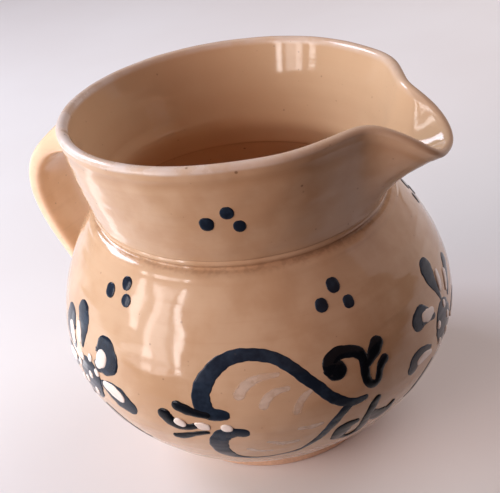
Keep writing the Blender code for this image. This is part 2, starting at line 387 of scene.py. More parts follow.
@dataclass
class ThrownBody:
    """The thrown pot: foot, belly, neck ring, collar, rim, lip and the hollow inside."""

    form: JugForm
    columns: int = 264
    crowding: float = 0.4
    underside_radii: tuple[Pair, Pair] = ((0.004, 0.0325), (0.0335, 0.0400))
    recess_radius: float = 0.0345
    recess_slope: float = 0.0015
    recess_depth: float = 0.0009
    foot_corner: Pair = (0.0006, 0.0009)
    neck_zone: Pair = (0.0035, 0.0042)
    rim_band: float = 0.0024
    rim_roll: float = 0.00010
    roll_step: Pair = (-0.0007, 0.0009)
    roll_lost_at_lip: float = 0.7
    rim_steps: int = 14
    inner_neck_gap: float = 0.0022
    bend_height: float = 0.0125
    floor_bend: Trail = ((0.0041, 0.0027), (0.0090, 0.0007), (0.0141, 0.0))
    ring_height: float = 0.00005
    rings_start: Pair = (0.008, 0.020)
    inner_ring_height: float = 0.00004
    ripple_height: float = 0.00007
    uneven_start: Pair = (0.004, 0.020)
    glaze_thickness: float = 0.00030
    glaze_step: Pair = (-0.0001, 0.0005)
    inner_swell: float = 0.0014
    swell_start: Pair = (-0.004, 0.017)
    swell_end: Pair = (0.024, 0.040)
    crease_height: float = 0.00036
    crease_end: Pair = (0.010, 0.020)
    crease_angle: float = math.radians(14.6)
    crease_lean: float = math.radians(0.33)
    crease_spread: float = math.radians(1.1)
    lump_height: float = 0.00014
    lump_end: Pair = (0.010, 0.018)
    # Angle and spread where the rim's whitening is strongest: real wear plus a painted reflection of the sky.
    wear_and_sheen_angle: float = math.radians(-125)
    wear_and_sheen_spread: float = math.radians(62)
    wheel_rings: Waves = ((1.05, 1.0, 0.0, 0.5), (1.62, -1.3, 1.0, 0.35), (2.55, 2.0, 2.2, 0.3))
    finger_rings: Waves = ((0.95, 1.0, 0.0, 1.0), (1.9, 2.0, 1.0, 0.5))
    unevenness: Waves = ((0.040, 3.0, 0.0, 0.00010), (-0.055, 5.0, 2.0, 0.00007))
    neck_ring: Bells = (
        (0.0018, 0.00028, 0.00065),
        (0.0029, -0.00030, 0.00030),
        (-0.0019, 0.00015, 0.00075),
        (0.0, -0.00022, 0.00045),
    )

    def angles(self) -> Array:
        """Angles of the columns, which crowd together at the lip: the turn less a share of its sine."""
        turn = 2 * math.pi * np.arange(self.columns) / self.columns
        return (turn - self.crowding * np.sin(turn))[None, :]

    def underside(self, angle: Array) -> tuple[Array, Array]:
        """The flat underside from its middle out, shallowly turned away inside the standing ring.

        Returns:
            The points, and the heights that the marks are worked out from.
        """
        flat, ring = self.underside_radii
        radius = np.concatenate([np.linspace(*flat, 8), np.linspace(*ring, 9)])[:, None]
        slope = smooth_step(radius - self.recess_radius, -self.recess_slope, self.recess_slope)
        lift = self.recess_depth * (1 - slope) + 0 * angle
        return np.stack([radius * np.cos(angle), radius * np.sin(angle), lift], axis=-1), lift

    def outside(self, angle: Array) -> tuple[Array, Array]:
        """The outer skin from the chamfer to the rim's outer edge, its rows close together at each edge.

        Returns:
            The points, and the heights that they are worked out from.
        """
        form = self.form
        stops = (
            (0.0, 3),
            (form.foot_chamfer, 5),
            (form.foot_height - self.foot_corner[0], 8),
            (form.foot_height + self.foot_corner[1], 91),
            (form.neck_height - self.neck_zone[0], 51),
            (form.neck_height + self.neck_zone[1], 25),
            (form.rim_edge_height - self.rim_band, 14),
        )
        heights = rows_through(stops, form.rim_edge_height)
        radius = np.where(heights < form.foot_height, form.foot(heights), form.outer(heights))
        return form.place(radius, heights, angle), heights + 0 * angle

    def over_rim(self, angle: Array) -> Array:
        """The rounded rim, a half ellipse from its outer edge to its inner edge."""
        form = self.form
        turn = (math.pi * np.arange(1, self.rim_steps) / self.rim_steps)[:, None] + 0 * angle
        inward = form.rim_thickness / 2 * (1 - np.cos(turn))
        height = form.rim_edge_height + 0 * turn
        return form.wall(form.collar, height, angle, inward, form.rim_crown * np.sin(turn))

    def inside(self, angle: Array) -> Array:
        """The inside from the rim to the floor: a smooth curve through the CAD's form and the floor's bend."""
        form = self.form
        share = np.linspace(0, 1, 6)[:, None] + 0 * angle
        top = form.rim_edge_height
        height = top + (form.neck_height + self.inner_neck_gap - top) * share
        wall = form.rim_thickness + (form.collar_wall - form.rim_thickness) * np.minimum(1, 3 * share)
        collar = form.wall(form.collar, height, angle, wall, 0 * share)
        share = (1 - np.cos(np.linspace(0, math.pi, 10)[:, None] + 0 * angle)) / 2
        top = form.neck_height - 0.5 * form.belly_wall
        height = top + (self.bend_height - top) * share
        belly = form.wall(form.belly, height, angle, form.belly_wall + 0 * share, 0 * share)
        corner = belly[-1:, :, :2]
        length = np.linalg.norm(corner, axis=-1, keepdims=True)
        bend = []
        for inward, above in self.floor_bend:
            level = 0 * length + form.floor_thickness + above
            bend.append(np.concatenate([corner * (length - inward) / length, level], axis=-1))
        return curve_through(np.concatenate([collar, belly, *bend]), 5)

    def floor(self, last: Array) -> Array:
        """Flat rings of the floor, in to its middle."""
        rings = last[None] * np.linspace(0.88, 0.06, 9)[:, None, None]
        rings[..., 2] = self.form.floor_thickness
        return rings

    def relief(self, height: Array, angle: Array) -> Array:
        """How far the outer skin stands off its plain form.

        The wheel's rings are three sines of the height whose phase drifts with the angle. The
        neck ring is two scored lines and two ridges, each a bell curve of the height, and the
        rim's edge and the glaze line above the foot are soft steps.
        """
        form = self.form
        up = 1000 * height
        wander = 0.7 * np.sin(angle + 0.6) + 0.4 * np.sin(2 * angle - 1.1)
        rings = self.ring_height * waves(up, wander, self.wheel_rings) * smooth_step(height, *self.rings_start)
        neck = bells(height - form.neck_height, self.neck_ring)
        above_band = height - form.rim_edge_height + self.rim_band
        off_lip = 1 - self.roll_lost_at_lip * fading(turn_from(angle), math.radians(30))
        roll = self.rim_roll * smooth_step(above_band, *self.roll_step) * off_lip
        glaze = self.glaze_thickness * (smooth_step(height - form.foot_height, *self.glaze_step) - 1)
        ripple = dimples(height, angle, (430, 1.8, 3), (19, 1.5, 90), 0.6)
        uneven = waves(up, angle, self.unevenness) + self.ripple_height * ripple
        return rings + neck + roll + glaze + uneven * smooth_step(height, *self.uneven_start)

    def inner_relief(self, height: Array, angle: Array) -> Array:
        """How far the inside stands in from its plain form.

        The finger rings are two sines of the height that drift with the angle, as a spiral
        does. The wall thickens below the rim by a soft step, so its top leans out a little.
        Two fine creases run down inside the lip, and its throat is lumpy.
        """
        depth = self.form.rim_edge_height - height
        away = turn_from(angle)
        rings = self.inner_ring_height * waves(1000 * height, angle, self.finger_rings)
        above_floor = smooth_step(height - self.form.floor_thickness, 0.0005, 0.0105)
        rings = rings * smooth_step(depth, 0.002, 0.012) * above_floor
        swell = self.inner_swell * smooth_step(depth, *self.swell_start)
        swell = swell * (1 - smooth_step(depth, *self.swell_end)) * (1 - fading(away, math.radians(35)))
        line = self.crease_angle - 1000 * np.maximum(depth, 0.0) * self.crease_lean
        crease = self.crease_height * fading(np.abs(away) - line, self.crease_spread)
        crease = crease * (1 - smooth_step(depth, *self.crease_end))
        lumps = self.lump_height * dimples(height, angle, (2100, 9, 14), (61, 5, 700))
        lumps = lumps * fading(away, math.radians(11), 6.0) * smooth_step(depth, -0.002, 0.002)
        return rings + swell + crease + lumps * (1 - smooth_step(depth, *self.lump_end))

    def surface(self, height: Array, angle: Array) -> Array:
        """Point of the finished outside, the form's skin with the relief on it."""
        lift = self.relief(height, angle)[..., None]
        return self.form.skin(height, angle) + self.form.skin_normal(height, angle) * lift

    def marks(self, grid: Array, level: Array, angle: Array, rim: int, hollow: int) -> dict[str, Array]:
        """Numbers that the glaze reads at each point: shares from 0 to 1, and the level.

        The rim's whitening, real wear with a painted reflection of the bright sky on it, is strongest around
        its own angle, and weak at the lip.

        Args:
            grid: The finished points.
            level: Their heights before the relief.
            angle: The angles of the columns.
            rim: The first row of the rim.
            hollow: The first row of the inside.

        Returns:
            The numbers by attribute name.
        """
        form = self.form
        row = np.arange(len(grid))[:, None] + 0 * angle
        outside = row < rim
        to_edge = np.where(outside, form.rim_edge_height - level, 0.0)
        past_edge = np.linalg.norm(grid - grid[hollow], axis=-1)
        worn_and_sheen = np.where(outside, 1 - smooth_step(to_edge, -0.0004, 0.0005), 1.0)
        worn_and_sheen = np.where(row >= hollow, 1 - smooth_step(past_edge, 0.0, 0.0008), worn_and_sheen)
        worn_and_sheen = worn_and_sheen * (1 - 0.8 * fading(turn_from(angle), math.radians(34)))
        # Strongest around one angle, where the painted reflection of the sky on the rim lies.
        worn_and_sheen = worn_and_sheen * (0.45 + 0.55 * fading(turn_from(angle, self.wear_and_sheen_angle), self.wear_and_sheen_spread))
        return {
            "inside": smooth_step(row.astype(float), rim + 9.0, hollow + 3.0),
            "rim": worn_and_sheen,
            # A darker band just under the rim: partly painted shade under the rim's roll, partly the glaze's
            # own browner edge.
            "below_rim": np.where(outside, fading(to_edge - 0.0034, 0.0016), 0.0),
            "bare": np.where(outside, 1 - smooth_step(level - form.foot_height, -0.0002, 0.0004), 0.0),
            "neck": np.where(outside, fading(level - form.neck_height - 0.0002, 0.0012), 0.0),
            "level": level,
        }

    def build(self) -> bpy.types.Object:
        """Makes the body as one closed skin, with the marks that its glaze reads."""
        angle = self.angles()
        underside, under_heights = self.underside(angle)
        outside, heights = self.outside(angle)
        inside = self.inside(angle)
        parts = (underside, outside, self.over_rim(angle), inside, self.floor(inside[-1]))
        foot, rim, hollow, floor = np.cumsum([len(part) for part in parts])[:4]
        grid = np.concatenate(parts)
        level = np.concatenate([under_heights, heights, grid[rim:, :, 2]])
        relief = np.zeros(grid.shape[:2])
        relief[foot:rim] = self.relief(heights, angle)
        relief[rim:hollow] = relief[rim - 1] * np.linspace(1, 0, hollow - rim + 1)[1:, None] ** 1.5
        relief[hollow:floor] = self.inner_relief(inside[..., 2], angle)
        grid = grid + Potting.normals(grid) * relief[..., None]
        grid[..., 2] = np.maximum(grid[..., 2], 0.0)
        middle = grid[-1, 0, 2]
        poles = {"inside": (0, 1), "bare": (1, 0), "level": (self.recess_depth, middle)}
        marks = self.marks(grid, level, angle, rim, hollow)
        closed = {name: np.append(values.ravel(), poles.get(name, (0, 0))) for name, values in marks.items()}
        skin = Potting.tube(grid, (0, 0, self.recess_depth), (0, 0, middle))
        obj = Potting.piece("jug_body", *skin, closed)
        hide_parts("jug")
        return obj


@dataclass
class StrapHandle:
    """The pulled strap handle, luted under the rim and pressed onto the belly."""

    form: JugForm
    top_height: float = 0.1085
    upper_reach: float = 0.0840
    upper_height: float = 0.1075
    lower_reach: float = 0.0970
    lower_height: float = 0.0830
    foot_height: float = 0.0465
    top_width: float = 0.0250
    foot_width: float = 0.0200
    thickness: float = 0.0070
    top_swell: float = 0.0120
    top_swell_length: float = 0.17
    foot_thinning: float = 0.0014
    foot_thinning_length: float = 0.14
    joint_spread: float = 0.14
    joint_length: float = 0.10
    edge_roundness: float = 0.55
    seat_depth: float = 0.0022
    steps: int = 150
    end_crowding: float = 0.063
    around: int = 56
    hollow_depth: float = 0.0007
    hollow_start: Pair = (0.08, 0.3)
    groove_depth: float = 0.00018
    waver: float = 0.00025
    fillet_reach: float = 0.0022
    fillet_length: float = 0.0020
    thumb_depth: float = 0.0009
    thumb_place: float = 0.93
    thumb_spread: float = 0.035

    def centre(self, share: Array) -> Array:
        """Reach and height of the middle line: a cubic between two ends on the wall, pulled by two points."""
        form = self.form
        top = np.array([float(form.collar(np.array(self.top_height))), self.top_height])
        upper = np.array([self.upper_reach, self.upper_height])
        lower = np.array([self.lower_reach, self.lower_height])
        foot = np.array([float(form.belly(np.array(self.foot_height))), self.foot_height])
        share = share[:, None]
        rest = 1 - share
        bends = 3 * rest**2 * share * upper + 3 * rest * share**2 * lower
        return rest**3 * top + bends + share**3 * foot

    def sections(self) -> tuple[Array, Array]:
        """Sections carried along the middle line.

        Each is a superellipse, its cosine and sine to a power, times half the width and half
        the thickness. Its outer face is hollowed by one minus the square across, finely grooved
        along, and pressed in by a thumb near the foot.

        Returns:
            The points as steps by turns by 3, and the centre of each section.
        """
        share = np.linspace(0, 1, self.steps)
        share = share - self.end_crowding * np.sin(2 * math.pi * share)
        middle = self.centre(share)
        along = unit(np.gradient(middle, axis=0))
        outward = np.stack([-along[:, 1], along[:, 0]], axis=-1)
        spread = self.joint_spread * fading(np.minimum(share, 1 - share), self.joint_length)
        width = (self.top_width + (self.foot_width - self.top_width) * share) * (1 + spread)
        thick = self.thickness + self.top_swell * fading(share, self.top_swell_length)
        thick = thick - self.foot_thinning * fading(1 - share, self.foot_thinning_length)
        turn = (2 * math.pi * np.arange(self.around) / self.around)[None, :]
        across = powered(np.cos(turn), self.edge_roundness)
        through = powered(np.sin(turn), self.edge_roundness)
        hollow = self.hollow_depth * smooth_step(share, *self.hollow_start)
        thumb = self.thumb_depth * fading(share - self.thumb_place, self.thumb_spread)
        pressed = (hollow + thumb)[:, None] * (1 - across**2) + self.groove_depth * np.sin(9 * across + 0.7)
        depth = through * thick[:, None] / 2 - pressed * np.maximum(through, 0.0)
        waver = self.waver * np.sin(7 * share + 1.0)[:, None]
        reach = middle[:, :1] + outward[:, :1] * depth
        height = middle[:, 1:] + outward[:, 1:] * depth
        points = np.stack([-reach, across * width[:, None] / 2 + waver + 0 * reach, height], axis=-1)
        return points, np.stack([-middle[:, 0], 0 * share, middle[:, 1]], axis=-1)

    def luted(self, points: Array, centre: Array) -> Array:
        """Flares the strap where it meets the wall, as clay smoothed on with a finger.

        A point moves away from the strap's middle, over the wall, by the fillet's reach times
        e to minus its distance off the wall over the fillet's length.
        """
        off = np.linalg.norm(points[..., :2], axis=-1) - self.form.outer(points[..., 2])
        share = np.exp(-np.maximum(off, 0.0) / self.fillet_length)
        away = points - centre[:, None]
        away[..., 0] = 0.0
        return points + unit(away) * (self.fillet_reach * share)[..., None]

    def seated(self, row: Array) -> Array:
        """Puts an end section into the wall, to an even depth below the outer skin."""
        radius = self.form.outer(row[:, 2]) - self.seat_depth
        reach = np.sqrt(np.maximum(radius**2 - row[:, 1] ** 2, 1e-8))
        return np.stack([-reach, row[:, 1], row[:, 2]], axis=-1)

    def build(self) -> bpy.types.Object:
        """Makes the handle as one closed strap whose ends sit in the wall."""
        points = self.luted(*self.sections())[:, ::-1]
        for end in (0, -1):
            points[end] = self.seated(points[end])
        vertices, quads, triangles = Potting.tube(points, points[0].mean(0), points[-1].mean(0))
        return Potting.piece("jug_handle", vertices, quads, triangles, {"level": vertices[:, 2]})


@dataclass(frozen=True)
class Stroke:
    """One trail of slip: where it goes, how wide it is along the way and how proud it stands.

    The path is in degrees and millimetres on the skin, widths and heights are in millimetres.
    """

    slip: Slip
    path: Trail
    widths: tuple[float, ...]
    height: float
    lift: float = 0.0

    def turned(self, degrees: float) -> "Stroke":
        """The same stroke further round the pot."""
        path = tuple((around + degrees, up) for around, up in self.path)
        return Stroke(self.slip, path, self.widths, self.height, self.lift)


def dab(slip: Slip, around: float, up: float, size: float, height: float, lift: float = 0.0) -> Stroke:
    """A dot of slip: a very short stroke, a little longer up the pot than round it."""
    return Stroke(slip, ((around, up - 0.06 * size), (around, up + 0.06 * size)), (size, size), height, lift)


@dataclass(frozen=True)
class Petal:
    """One petal of a flower and its white tear, as paths in mm to the right of and above the middle."""

    path: Trail
    widths: tuple[float, ...]
    tear: Trail = ()
    tear_widths: tuple[float, ...] = ()

    def mirrored(self) -> "Petal":
        """The same petal on the flower's other side."""
        path, tear = (tuple((-x, y) for x, y in trail) for trail in (self.path, self.tear))
        return Petal(path, self.widths, tear, self.tear_widths)

    def moved(self, right: float) -> "Petal":
        """The same petal moved that many mm to the right."""
        path, tear = (tuple((x + right, y) for x, y in trail) for trail in (self.path, self.tear))
        return Petal(path, self.widths, tear, self.tear_widths)


@dataclass
class SlipTrailing:
    """All the trailed slip on the pot: hearts, scrolls, flowers and groups of three dots."""

    body: ThrownBody
    around: int = 16
    spacing: float = 0.00042
    sunk: float = 0.00022
    path_steps: int = 12
    fewest_rows: int = 13
    end_crowding: float = 0.11
    wobble: float = 0.03
    full_width: float = 0.0022
    line_height: float = 0.15
    veil_height: float = 0.03
    scroll_height: float = 0.4
    petal_height: float = 0.16
    tear_height: float = 0.32
    tear_lift: float = 0.12
    eye_size: float = 14.0
    eye_dot_size: float = 2.6
    eye_dot_height: float = 0.34
    dot_height: float = 0.3
    dot_sizes: tuple[float, ...] = (4.3, 3.956, 3.698)
    flower_height: float = 50.0
    strokes: list[Stroke] = field(default_factory=list)

    def heart(self, turn: float) -> None:
        """A heart on its side, tip towards the lip, with leaf strokes at its notch."""
        upper = (
            (-70.5, 50.5), (-73.7, 50.9), (-75.4, 53.3), (-75.8, 57.2), (-75.0, 60.3), (-73.1, 63.8),
            (-70.1, 67.0), (-65.9, 69.0), (-60.9, 69.1), (-55.7, 67.4), (-51.5, 63.5), (-48.7, 59.5),
            (-46.2, 56.1), (-44.1, 52.4), (-41.7, 49.3), (-38.9, 46.7), (-36.7, 45.8), (-34.1, 45.7),
        )
        upper_widths = (
            3.8, 5.3, 6.0, 6.0, 5.8, 5.3, 4.8, 4.3, 4.0, 3.9, 3.9, 3.9, 3.8, 3.8, 3.8, 3.5, 3.0, 2.6,
        )
        lower = (
            (-66.5, 42.8), (-68.9, 43.1), (-71.8, 41.9), (-73.7, 38.3), (-74.0, 33.5), (-72.7, 29.6),
            (-70.7, 27.3), (-67.0, 26.0), (-63.1, 25.6), (-58.7, 25.9), (-52.7, 27.7), (-49.6, 30.9),
            (-46.8, 33.8), (-44.8, 37.0), (-42.9, 40.0), (-41.2, 42.7), (-39.4, 44.8), (-38.0, 46.1),
        )
        lower_widths = (
            4.0, 4.6, 5.7, 6.1, 5.9, 4.9, 2.9, 1.6, 1.0, 1.0, 1.3, 1.9, 2.7, 3.2, 3.4, 3.3, 3.1, 2.7,
        )
        leaves = (
            (((-82.6, 52.8), (-80.1, 51.7), (-77.7, 50.9), (-75.0, 50.3)), (3.9, 3.7, 3.1, 2.5), 0.5),
            (
                ((-86.9, 48.4), (-85.4, 46.0), (-83.5, 44.6), (-80.8, 44.6), (-78.8, 45.4)),
                (4.9, 4.6, 3.4, 2.7, 2.5),
                0.5,
            ),
            (
                ((-85.5, 39.0), (-83.7, 39.4), (-80.2, 41.2), (-77.0, 42.6), (-75.7, 42.9)),
                (2.5, 2.8, 2.2, 1.7, 1.3),
                0.45,
            ),
        )
        touches = (
            (((-83.1, 46.4), (-82.3, 45.9)), (3.4, 3.0), 0.34, 0.3),
            (((-77.9, 45.8), (-76.8, 45.6), (-75.9, 45.5)), (2.8, 3.6, 3.0), 0.32, 0.14),
            (((-70.7, 45.4), (-70.0, 45.3)), (3.2, 2.9), 0.32, 0.12),
        )
        veils = (
            (
                ((-65.9, 57.6), (-64.7, 59.6), (-62.6, 61.4), (-59.3, 62.4), (-55.7, 62.7)),
                (4.0, 3.9, 3.4, 2.8, 1.8),
            ),
            (((-60.2, 53.3), (-59.0, 55.8), (-56.6, 57.5), (-53.7, 57.8)), (3.6, 3.3, 2.8, 1.9)),
            (((-52.3, 49.4), (-51.4, 52.0), (-49.8, 54.2), (-48.3, 55.3)), (3.3, 3.0, 2.6, 1.8)),
            (((-60.5, 37.0), (-56.8, 35.1), (-53.2, 35.3)), (2.0, 2.7, 2.0)),
            (((-66.3, 33.3), (-64.2, 31.7), (-60.5, 31.2)), (2.2, 2.2, 1.6)),
            (((-52.1, 41.5), (-49.5, 41.0), (-46.5, 41.4)), (2.0, 2.6, 1.9)),
        )
        made = [Stroke(Slip.NAVY, upper, upper_widths, self.line_height)]
        made.append(Stroke(Slip.NAVY, lower, lower_widths, self.line_height))
        made += [Stroke(Slip.BLACK, *leaf) for leaf in leaves]
        made += [Stroke(Slip.WHITE, *touch) for touch in touches]
        made += [Stroke(Slip.VEIL, *veil, self.veil_height) for veil in veils]
        self.strokes += [stroke.turned(turn) for stroke in made]

    def scrolls(self, turn: float) -> None:
        """The thick black scrolls beyond the heart's tip, one above and one below it."""
        paths = (
            (((-40.7, 59.2), (-41.0, 59.5)), (6.6, 6.4)),
            (
                (
                    (-41.9, 60.4), (-42.0, 62.4), (-39.7, 64.1), (-36.7, 63.6), (-34.3, 62.4), (-33.0, 60.1),
                    (-33.0, 57.5), (-33.2, 53.7), (-32.6, 50.8), (-31.2, 49.5), (-29.9, 50.2), (-29.2, 52.4),
                    (-28.2, 55.0), (-27.0, 56.1),
                ),
                (5.4, 4.8, 4.3, 4.1, 3.8, 3.4, 3.3, 3.1, 3.1, 2.9, 2.7, 2.7, 3.1, 3.5),
            ),
            (((-28.2, 61.9), (-29.3, 60.3), (-31.0, 58.5), (-32.5, 57.0)), (5.2, 4.8, 3.6, 2.9)),
            (((-41.2, 29.6), (-40.3, 33.0), (-38.9, 34.9), (-36.6, 35.5)), (5.2, 6.6, 5.2, 3.2)),
            (
                (
                    (-41.2, 29.0), (-38.4, 26.8), (-35.8, 26.8), (-33.7, 28.6), (-32.8, 34.1), (-31.9, 38.1),
                    (-31.0, 40.8), (-30.0, 42.6),
                ),
                (2.6, 2.0, 2.6, 3.6, 3.6, 3.6, 3.4, 2.6),
            ),
            (
                ((-31.6, 36.5), (-29.7, 33.6), (-27.3, 32.0), (-25.0, 32.4), (-23.4, 34.8)),
                (2.8, 5.2, 6.4, 4.6, 1.8),
            ),
        )
        self.strokes += [Stroke(Slip.BLACK, *path, self.scroll_height).turned(turn) for path in paths]

    def spot(self, middle: float, x: float, y: float) -> Pair:
        """Place on the skin x mm to the right of a flower's middle and y mm above it."""
        up = self.flower_height + y
        radius = 1000 * float(self.body.form.outer(np.array(up / 1000)))
        return middle + math.degrees(x / radius), up

    def flower(self, middle: float, petals: tuple[Petal, ...], dots: Trail) -> None:
        """A round flower: a dark eye with white dots on it, and petals with a white tear each."""
        self.strokes.append(dab(Slip.NAVY, *self.spot(middle, 1.0, -1.0), self.eye_size, self.petal_height))
        for petal in petals:
            path = tuple(self.spot(middle, x, y) for x, y in petal.path)
            self.strokes.append(Stroke(Slip.NAVY, path, petal.widths, self.petal_height))
            if petal.tear:
                tear = tuple(self.spot(middle, x, y) for x, y in petal.tear)
                stroke = Stroke(Slip.WHITE, tear, petal.tear_widths, self.tear_height, self.tear_lift)
                self.strokes.append(stroke)
        for x, y in dots:
            around, up = self.spot(middle, x, y)
            size, height = self.eye_dot_size, self.eye_dot_height
            self.strokes.append(dab(Slip.WHITE, around, up, size, height, self.tear_lift))

    def three_dots(self, places: Trail) -> None:
        """A group of three navy dots, each a little smaller than the last."""
        for (around, up), size in zip(places, self.dot_sizes):
            self.strokes.append(dab(Slip.NAVY, around, up, size, self.dot_height))

    def lay_out(self) -> None:
        """Puts every motif on the pot: those in view as they are, and the same ones round the back."""
        top = Petal(
            ((1.8, 7.6), (0.8, 12.0), (0.2, 16.0), (0.5, 19.2)), (1.6, 3.4, 6.8, 7.8),
            ((3.2, 10.4), (4.6, 13.0), (5.2, 14.9)), (2.2, 3.2, 2.8),
        )
        slim = Petal(
            ((9.2, 4.6), (13.2, 9.2), (16.8, 12.4)), (1.8, 4.4, 5.6), ((8.4, 7.2), (11.4, 11.0)), (2.2, 3.4),
        )
        plump = Petal(
            ((-6.2, 6.0), (-9.6, 8.4), (-12.6, 9.8), (-14.4, 9.4)), (2.2, 5.4, 7.6, 7.2),
            ((-6.6, 8.2), (-9.0, 8.2), (-11.2, 8.8)), (2.8, 4.2, 3.6),
        )
        hooked = Petal(
            ((-10.8, -3.4), (-14.2, -2.0), (-17.4, -2.0), (-19.6, -3.0), (-20.8, -5.0)),
            (1.8, 3.4, 5.2, 6.2, 5.6),
            ((-10.9, -5.4), (-14.4, -4.6), (-17.2, -4.6)), (2.2, 3.6, 3.4),
        )
        stalk = Petal(((-7.6, -11.5), (-12.0, -16.2), (-17.6, -20.4)), (2.0, 3.0, 2.2))
        upright = Petal(
            ((-3.0, 9.2), (-2.6, 13.6), (-3.2, 17.4), (-4.4, 19.8)), (1.8, 4.4, 7.6, 7.4),
            ((-4.8, 10.4), (-5.9, 13.0), (-6.4, 14.8)), (2.4, 3.4, 2.8),
        )
        broad = Petal(
            ((7.4, 6.8), (10.0, 8.8), (11.4, 11.0), (11.0, 13.4)), (4.8, 9.8, 11.6, 9.6),
            ((7.6, 7.6), (8.9, 9.4), (9.6, 11.0)), (3.6, 5.4, 4.6),
        )
        almond = Petal(
            ((9.2, 0.6), (12.8, -0.2), (16.4, -1.5), (19.6, -3.2)), (3.4, 7.4, 9.2, 7.6),
            ((10.4, 1.0), (13.6, 0.3), (16.8, -0.9)), (3.0, 5.0, 4.4),
        )
        tendril = Petal(((4.4, -11.0), (8.8, -13.4), (13.6, -17.6), (18.6, -20.4)), (1.6, 2.6, 2.4, 1.6))
        right = (top, slim, plump, hooked, stalk, hooked.mirrored(), stalk.mirrored())
        right_dots = ((2.8, 4.6), (-3.8, 0.6), (-3.4, -6.6), (4.8, -1.0), (3.4, -6.4))
        left = (upright, broad, almond, tendril)
        left += (broad.mirrored().moved(-3.0), almond.mirrored(), tendril.mirrored())
        left_dots = (
            (2.4, 7.4), (-5.8, 2.0), (-3.1, 5.2), (1.8, 0.8),
            (2.8, -5.4), (-2.4, -3.2), (6.0, 3.6), (-6.4, -5.0),
        )
        dot_groups = (
            ((-69.2, 106.6), (-62.4, 109.9), (-59.3, 105.1)),
            ((58.6, 106.2), (65.0, 109.6), (68.4, 105.0)),
            ((-108.1, 80.2), (-101.8, 83.6), (-100.5, 79.5)),
            ((-34.3, 81.6), (-39.8, 77.9), (-31.7, 76.3)),
            ((35.5, 81.6), (30.6, 78.0), (38.5, 76.8)),
            ((102.0, 80.4), (108.3, 83.2), (109.4, 79.0)),
            ((176.0, 29.5), (182.8, 32.8), (184.2, 27.6)),
        )
        for turn in (0.0, 118.0):
            self.heart(turn)
            self.scrolls(turn)
        self.flower(0.5, right, right_dots)
        for middle in (-115.5, 121.5):
            self.flower(middle, left, left_dots)
        for group in dot_groups:
            self.three_dots(group)

    def trail(self, stroke: Stroke, number: int) -> tuple[Array, Array]:
        """Grid of one stroke, laid on the skin.

        The path is a smooth curve on the skin, carried on past each end by half the width.
        Half the width falls to nothing there as the root of 1 - (1 - d)^2, d being the
        distance from the end over half the width. Each section is an arch, the sine of the
        turn to a power, and its flat underside is sunk in the glaze.

        Args:
            stroke: What to lay.
            number: Its place in the list, which gives it its own slight wobble.

        Returns:
            The points as steps by turns by 3, and how thick the slip is there from 0 to 1.
        """
        control = np.array([(math.radians(around), up / 1000) for around, up in stroke.path])
        widths = np.array(stroke.widths) / 1000
        path = curve_through(np.column_stack([control, widths]), self.path_steps)
        form = self.body.form
        spots = form.skin(path[:, 1], path[:, 0])
        length = np.concatenate([[0], np.cumsum(np.linalg.norm(np.diff(spots, axis=0), axis=-1))])
        ends = length[1], length[-1] - length[-2]
        first = path[0] + (path[0] - path[1]) * (path[0, 2] / 2) / max(ends[0], 1e-6)
        last = path[-1] + (path[-1] - path[-2]) * (path[-1, 2] / 2) / max(ends[1], 1e-6)
        first[2], last[2] = path[0, 2], path[-1, 2]
        path = np.concatenate([[first], path, [last]])
        length = np.concatenate([[-first[2] / 2], length, [length[-1] + last[2] / 2]])
        whole = length[-1] - length[0]
        count = max(self.fewest_rows, int(whole / self.spacing))
        share = np.linspace(0, 1, count + 2)
        share = (share - self.end_crowding * np.sin(2 * math.pi * share))[1:-1]
        along = length[0] + whole * share
        angle, height, width = (np.interp(along, length, path[:, part]) for part in range(3))
        wobble = np.sin(along * 1900 + number) + np.sin(along * 900 + 2.7 * number)
        half = width * (1 + self.wobble * wobble) / 2
        nearest = np.minimum(along - length[0], length[-1] - along) / half
        cap = np.sqrt(np.maximum(1 - (1 - np.minimum(nearest, 1)) ** 2, 1e-4))
        tangent = unit(np.gradient(form.skin(height, angle), axis=0))
        side = np.cross(form.skin_normal(height, angle), tangent)
        climb, turn = (
            2 * step * np.einsum("ij,ij->i", side, move) / np.einsum("ij,ij->i", move, move)
            for step, move in zip((UP_STEP, ROUND_STEP), form.moves(height, angle))
        )
        ring = (2 * math.pi * (np.arange(self.around) + 0.5) / self.around)[None, :]
        across = np.cos(ring) * (half * cap)[:, None]
        arch = np.maximum(np.sin(ring), 0.0) ** 0.8
        fullness = np.minimum(2 * half / self.full_width, 1.0) ** 0.7
        proud = (stroke.height / 1000 * fullness * cap**0.7)[:, None] * arch
        base = np.where(np.sin(ring) > 0, stroke.lift / 1000 * arch**0.4, -self.sunk)
        heights = height[:, None] + across * climb[:, None]
        angles = angle[:, None] + across * turn[:, None]
        lifted = form.skin_normal(heights, angles) * (proud + base)[..., None]
        return self.body.surface(heights, angles) + lifted, arch * cap[:, None] ** 0.5

    def build(self) -> dict[Slip, bpy.types.Object]:
        """Makes one piece of each slip from all its strokes."""
        self.lay_out()
        pieces = {}
        for slip in Slip:
            vertices, quads, triangles, thickness = [], [], [], []
            offset = 0
            for number, stroke in enumerate(self.strokes):
                if stroke.slip is not slip:
                    continue
                grid, depth = self.trail(stroke, number)
                points, fours, threes = Potting.tube(grid, grid[0].mean(0), grid[-1].mean(0))
                vertices.append(points)
                quads.append(fours + offset)
                triangles.append(threes + offset)
                thickness.append(np.append(depth.ravel(), (0.0, 0.0)))
                offset += len(points)
            marks = {"thickness": np.concatenate(thickness)}
            joined = (np.concatenate(part) for part in (vertices, quads, triangles))
            pieces[slip] = Potting.piece(f"slip_{slip.value}", *joined, marks)
        LOG.info("slip trailing: %d strokes", len(self.strokes))
        return pieces


